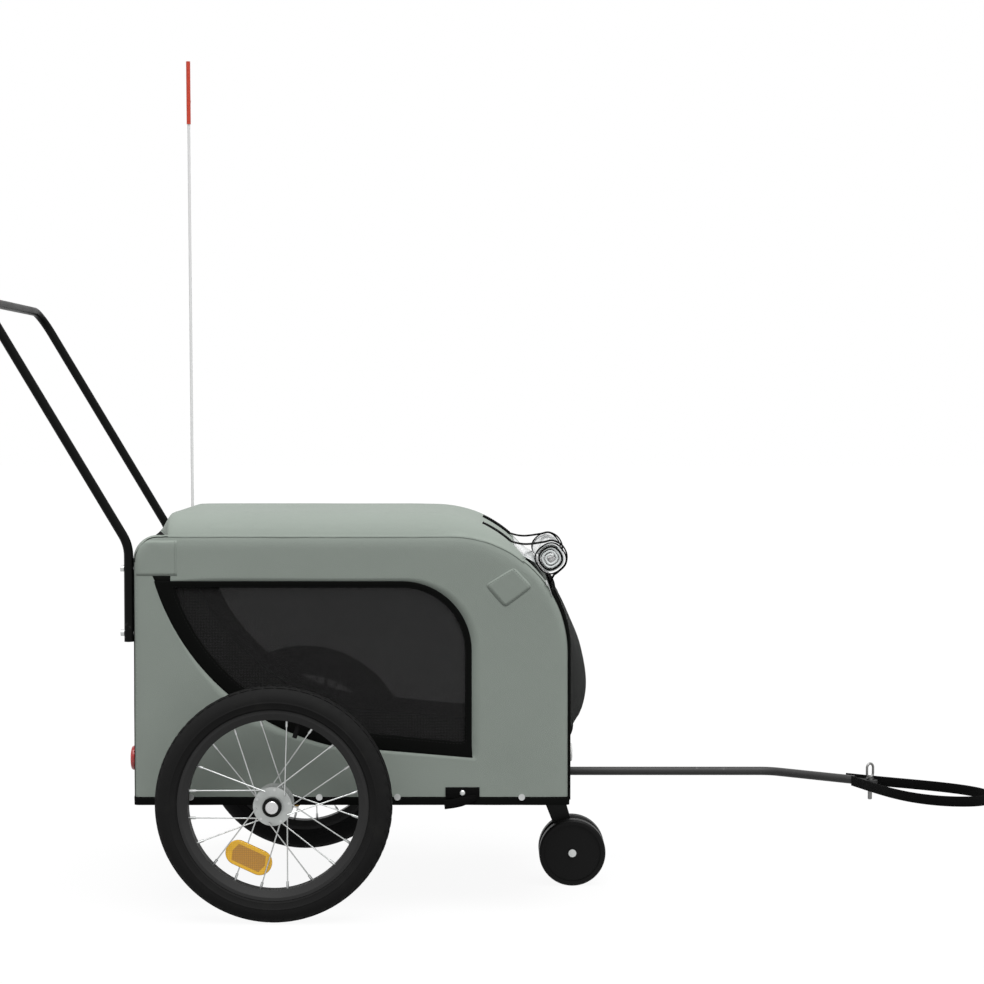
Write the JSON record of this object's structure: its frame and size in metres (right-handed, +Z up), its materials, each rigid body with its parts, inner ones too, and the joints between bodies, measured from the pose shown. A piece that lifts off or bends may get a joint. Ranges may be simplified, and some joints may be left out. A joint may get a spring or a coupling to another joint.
{
  "type": "dog bike trailer",
  "caption": "Cloth-covered dog trailer with spoked wheels, hooped cabin, mesh doors and windows, push handle, swivelling caster and a swinging tow bar with a hitch pin and safety strap.",
  "frame": {"origin": "on the floor, under the middle of the trailer's length from the push handle to the tow bar's tongue", "axes": "+X forward towards the tow bar, +Y to the trailer's left, +Z up"},
  "size_m": [1.7608, 0.7143, 1.523],
  "materials": {
    "tyre_rubber": "matt, fine tread",
    "inner_rubber": "matt",
    "rim_metal": "satin black",
    "spoke_steel": "bright",
    "hub_metal": "satin",
    "bearing_steel": "plain",
    "amber": "prismatic",
    "axle_black": "satin black",
    "chrome": "polished",
    "frame_black": "satin black",
    "handle_black": "satin black",
    "tow_grey": "satin grey",
    "zinc": "zinc plated",
    "board": "dark film faced",
    "cloth_grey": "woven polyester",
    "cloth_roof": "woven polyester",
    "cloth_black": "woven polyester",
    "mesh_black": "open mesh",
    "mesh_door": "open mesh",
    "film": "clear soft film",
    "webbing": "woven webbing",
    "reflector_clear": "prismatic",
    "reflector_red": "prismatic",
    "caster_plastic": "matt",
    "pole_white": "smooth",
    "flag_orange": "thin cloth"
  },
  "bodies": {
    "chassis": {"axle_right": "axle_black", "axle_sleeve_right": "zinc", "base_rail_right": "frame_black", "side_hoop_right": "frame_black", "side_panel_right": "cloth_grey", "window_mesh_right": "mesh_black", "axle_left": "axle_black", "axle_sleeve_left": "zinc", "base_rail_left": "frame_black", "side_hoop_left": "frame_black", "side_panel_left": "cloth_grey", "window_mesh_left": "mesh_black", "front_cross_tube": "frame_black", "rear_cross_tube": "frame_black", "axle_cross_tube": "frame_black", "roof_bows": "frame_black", "door_bar": "frame_black", "floor_board": "board", "roof_panel": "cloth_roof", "front_panel": "cloth_grey", "rear_panel": "cloth_black", "rain_cover_roll": "film", "roll_straps": "webbing", "front_reflectors": "reflector_clear", "rear_reflectors": "reflector_red", "push_handle": "handle_black", "handle_bolts": "zinc", "base_screws": "zinc", "stow_strap": "webbing", "caster_socket": "zinc", "tow_bracket": "frame_black", "pivot_bolt": "zinc", "flag_sleeve": "cloth_black"},
    "wheel_right": {"tyre_right": "tyre_rubber", "inner_tube_right": "inner_rubber", "rim_right": "rim_metal", "spokes_right": "spoke_steel", "hub_right": "hub_metal", "bearings_right": "bearing_steel", "wheel_reflector_right": "amber"},
    "wheel_left": {"tyre_left": "tyre_rubber", "inner_tube_left": "inner_rubber", "rim_left": "rim_metal", "spokes_left": "spoke_steel", "hub_left": "hub_metal", "bearings_left": "bearing_steel", "wheel_reflector_left": "amber"},
    "button_right": {"release_button_right": "chrome"},
    "button_left": {"release_button_left": "chrome"},
    "caster": {"caster_fork": "frame_black", "caster_bolt": "zinc"},
    "caster_roller_right": {"caster_wheel_right": "caster_plastic"},
    "caster_roller_left": {"caster_wheel_left": "caster_plastic"},
    "tow_arm": {"tow_bar": "tow_grey", "safety_strap": "webbing"},
    "hitch": {"hitch_pin": "zinc"},
    "door_front": {"front_door": "mesh_door"},
    "door_rear": {"rear_door": "mesh_door"},
    "flag": {"flag_pole": "pole_white", "pennant": "flag_orange"}
  },
  "joints": [
    {"name": "wheel_right_spin", "type": "hinge", "parent": "chassis", "child": "wheel_right", "pos_m": [-0.28753, -0.32, 0.199], "axis": [0, 1, 0], "continuous": true},
    {"name": "wheel_left_spin", "type": "hinge", "parent": "chassis", "child": "wheel_left", "pos_m": [-0.28753, 0.32, 0.199], "axis": [0, 1, 0], "continuous": true},
    {"name": "button_right_press", "type": "slide", "parent": "chassis", "child": "button_right", "axis": [0, 1, 0], "range_m": [0, 0.003], "stiffness_N_per_m": 800},
    {"name": "button_left_press", "type": "slide", "parent": "chassis", "child": "button_left", "axis": [0, -1, 0], "range_m": [0, 0.003], "stiffness_N_per_m": 800},
    {"name": "caster_swivel", "type": "hinge", "parent": "chassis", "child": "caster", "pos_m": [0.19267, 0, 0.19], "axis": [0, 0, 1], "continuous": true},
    {"name": "caster_right_spin", "type": "hinge", "parent": "caster", "child": "caster_roller_right", "pos_m": [0.22267, -0.0225, 0.06], "axis": [0, 1, 0], "continuous": true},
    {"name": "caster_left_spin", "type": "hinge", "parent": "caster", "child": "caster_roller_left", "pos_m": [0.22267, 0.0225, 0.06], "axis": [0, 1, 0], "continuous": true},
    {"name": "tow_arm_swing", "type": "hinge", "parent": "chassis", "child": "tow_arm", "pos_m": [0.19267, 0.2, 0.171], "axis": [0, 0, 1], "range_deg": [-80, 0]},
    {"name": "hitch_pin_lift", "type": "slide", "parent": "tow_arm", "child": "hitch", "axis": [0, 0, 1], "range_m": [0, 0.045]},
    {"name": "front_door_fold", "type": "hinge", "parent": "chassis", "child": "door_front", "pos_m": [0.21027, 0, 0.301], "axis": [0, 1, 0], "range_deg": [0, 105]},
    {"name": "rear_door_fold", "type": "hinge", "parent": "chassis", "child": "door_rear", "pos_m": [-0.53413, 0, 0.301], "axis": [0, -1, 0], "range_deg": [0, 100]},
    {"name": "flag_lift", "type": "slide", "parent": "chassis", "child": "flag", "axis": [-0.0052, 0, 1], "range_m": [0, 0.15]}
  ]
}
